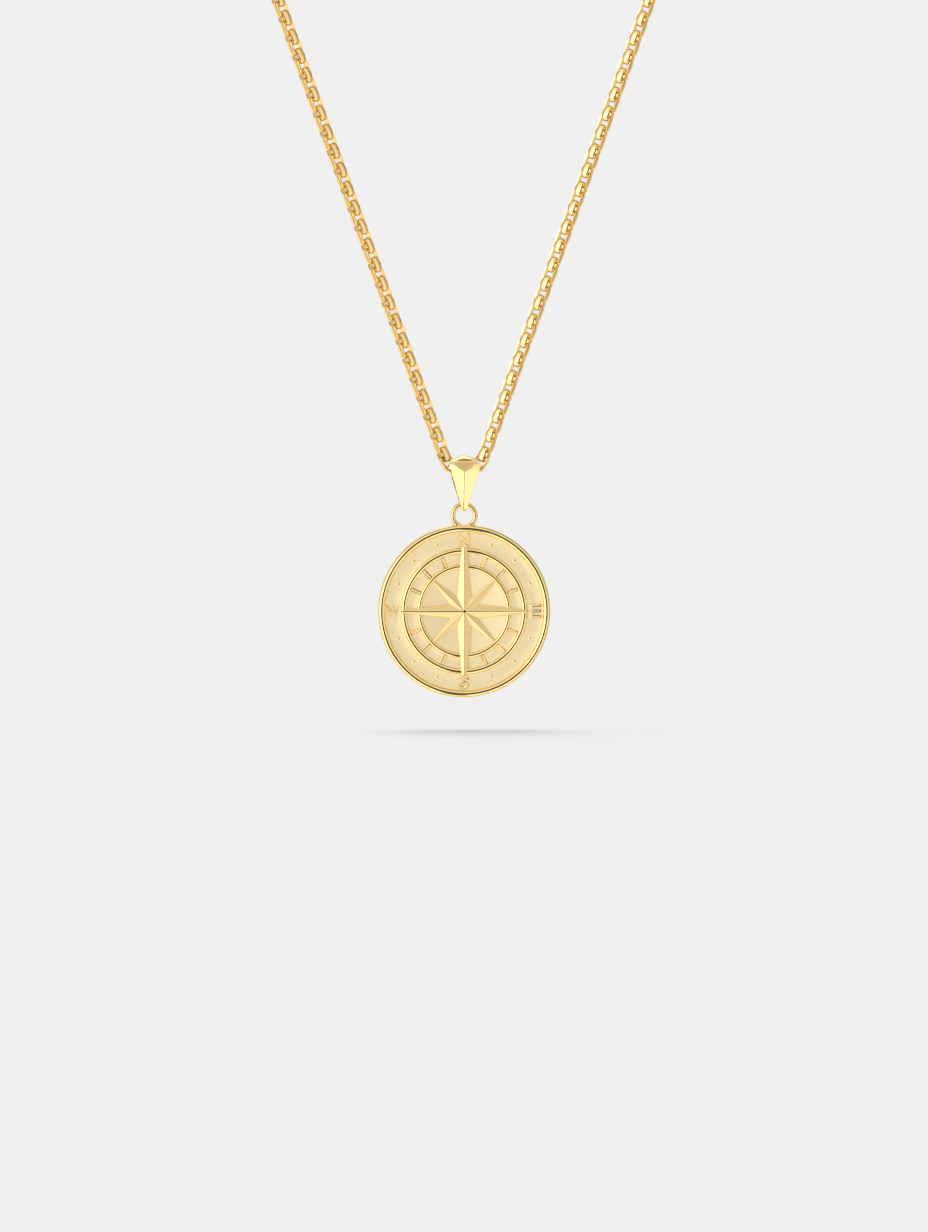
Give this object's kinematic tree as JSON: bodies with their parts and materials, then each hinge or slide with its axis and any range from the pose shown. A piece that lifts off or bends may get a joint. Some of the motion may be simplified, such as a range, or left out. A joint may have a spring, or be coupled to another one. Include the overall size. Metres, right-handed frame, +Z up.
{
  "type": "compass pendant necklace",
  "caption": "Round medal with a compass star in relief, hung by a ring and a faceted bail on a round box chain with a clasp, a whole necklace for wearing round the neck.",
  "frame": {"origin": "middle of the clasp, at the nape of the neck, where the necklace is held up", "axes": "+Z up, the medal's face and the front of the necklace towards -Y, +X to the right as seen from the front"},
  "size_m": [0.109, 0.0987, 0.22],
  "materials": {
    "gold": "polished yellow gold, with a frosted field on the medal"
  },
  "bodies": {
    "chain": {"chain_links": "gold", "chain_back": "gold", "clasp": "gold", "jump_ring_left": "gold", "jump_ring_right": "gold"},
    "bail": {"bail": "gold"},
    "medal": {"medal": "gold"}
  },
  "joints": [
    {"name": "bail_swing", "type": "hinge", "parent": "chain", "child": "bail", "pos_m": [0, -0.09392, -0.18523], "axis": [1, 0, 0], "range_deg": [-12, 12]},
    {"name": "medal_swing", "type": "hinge", "parent": "bail", "child": "medal", "pos_m": [0, -0.09392, -0.19008], "axis": [1, 0, 0], "range_deg": [-60, 60]}
  ]
}
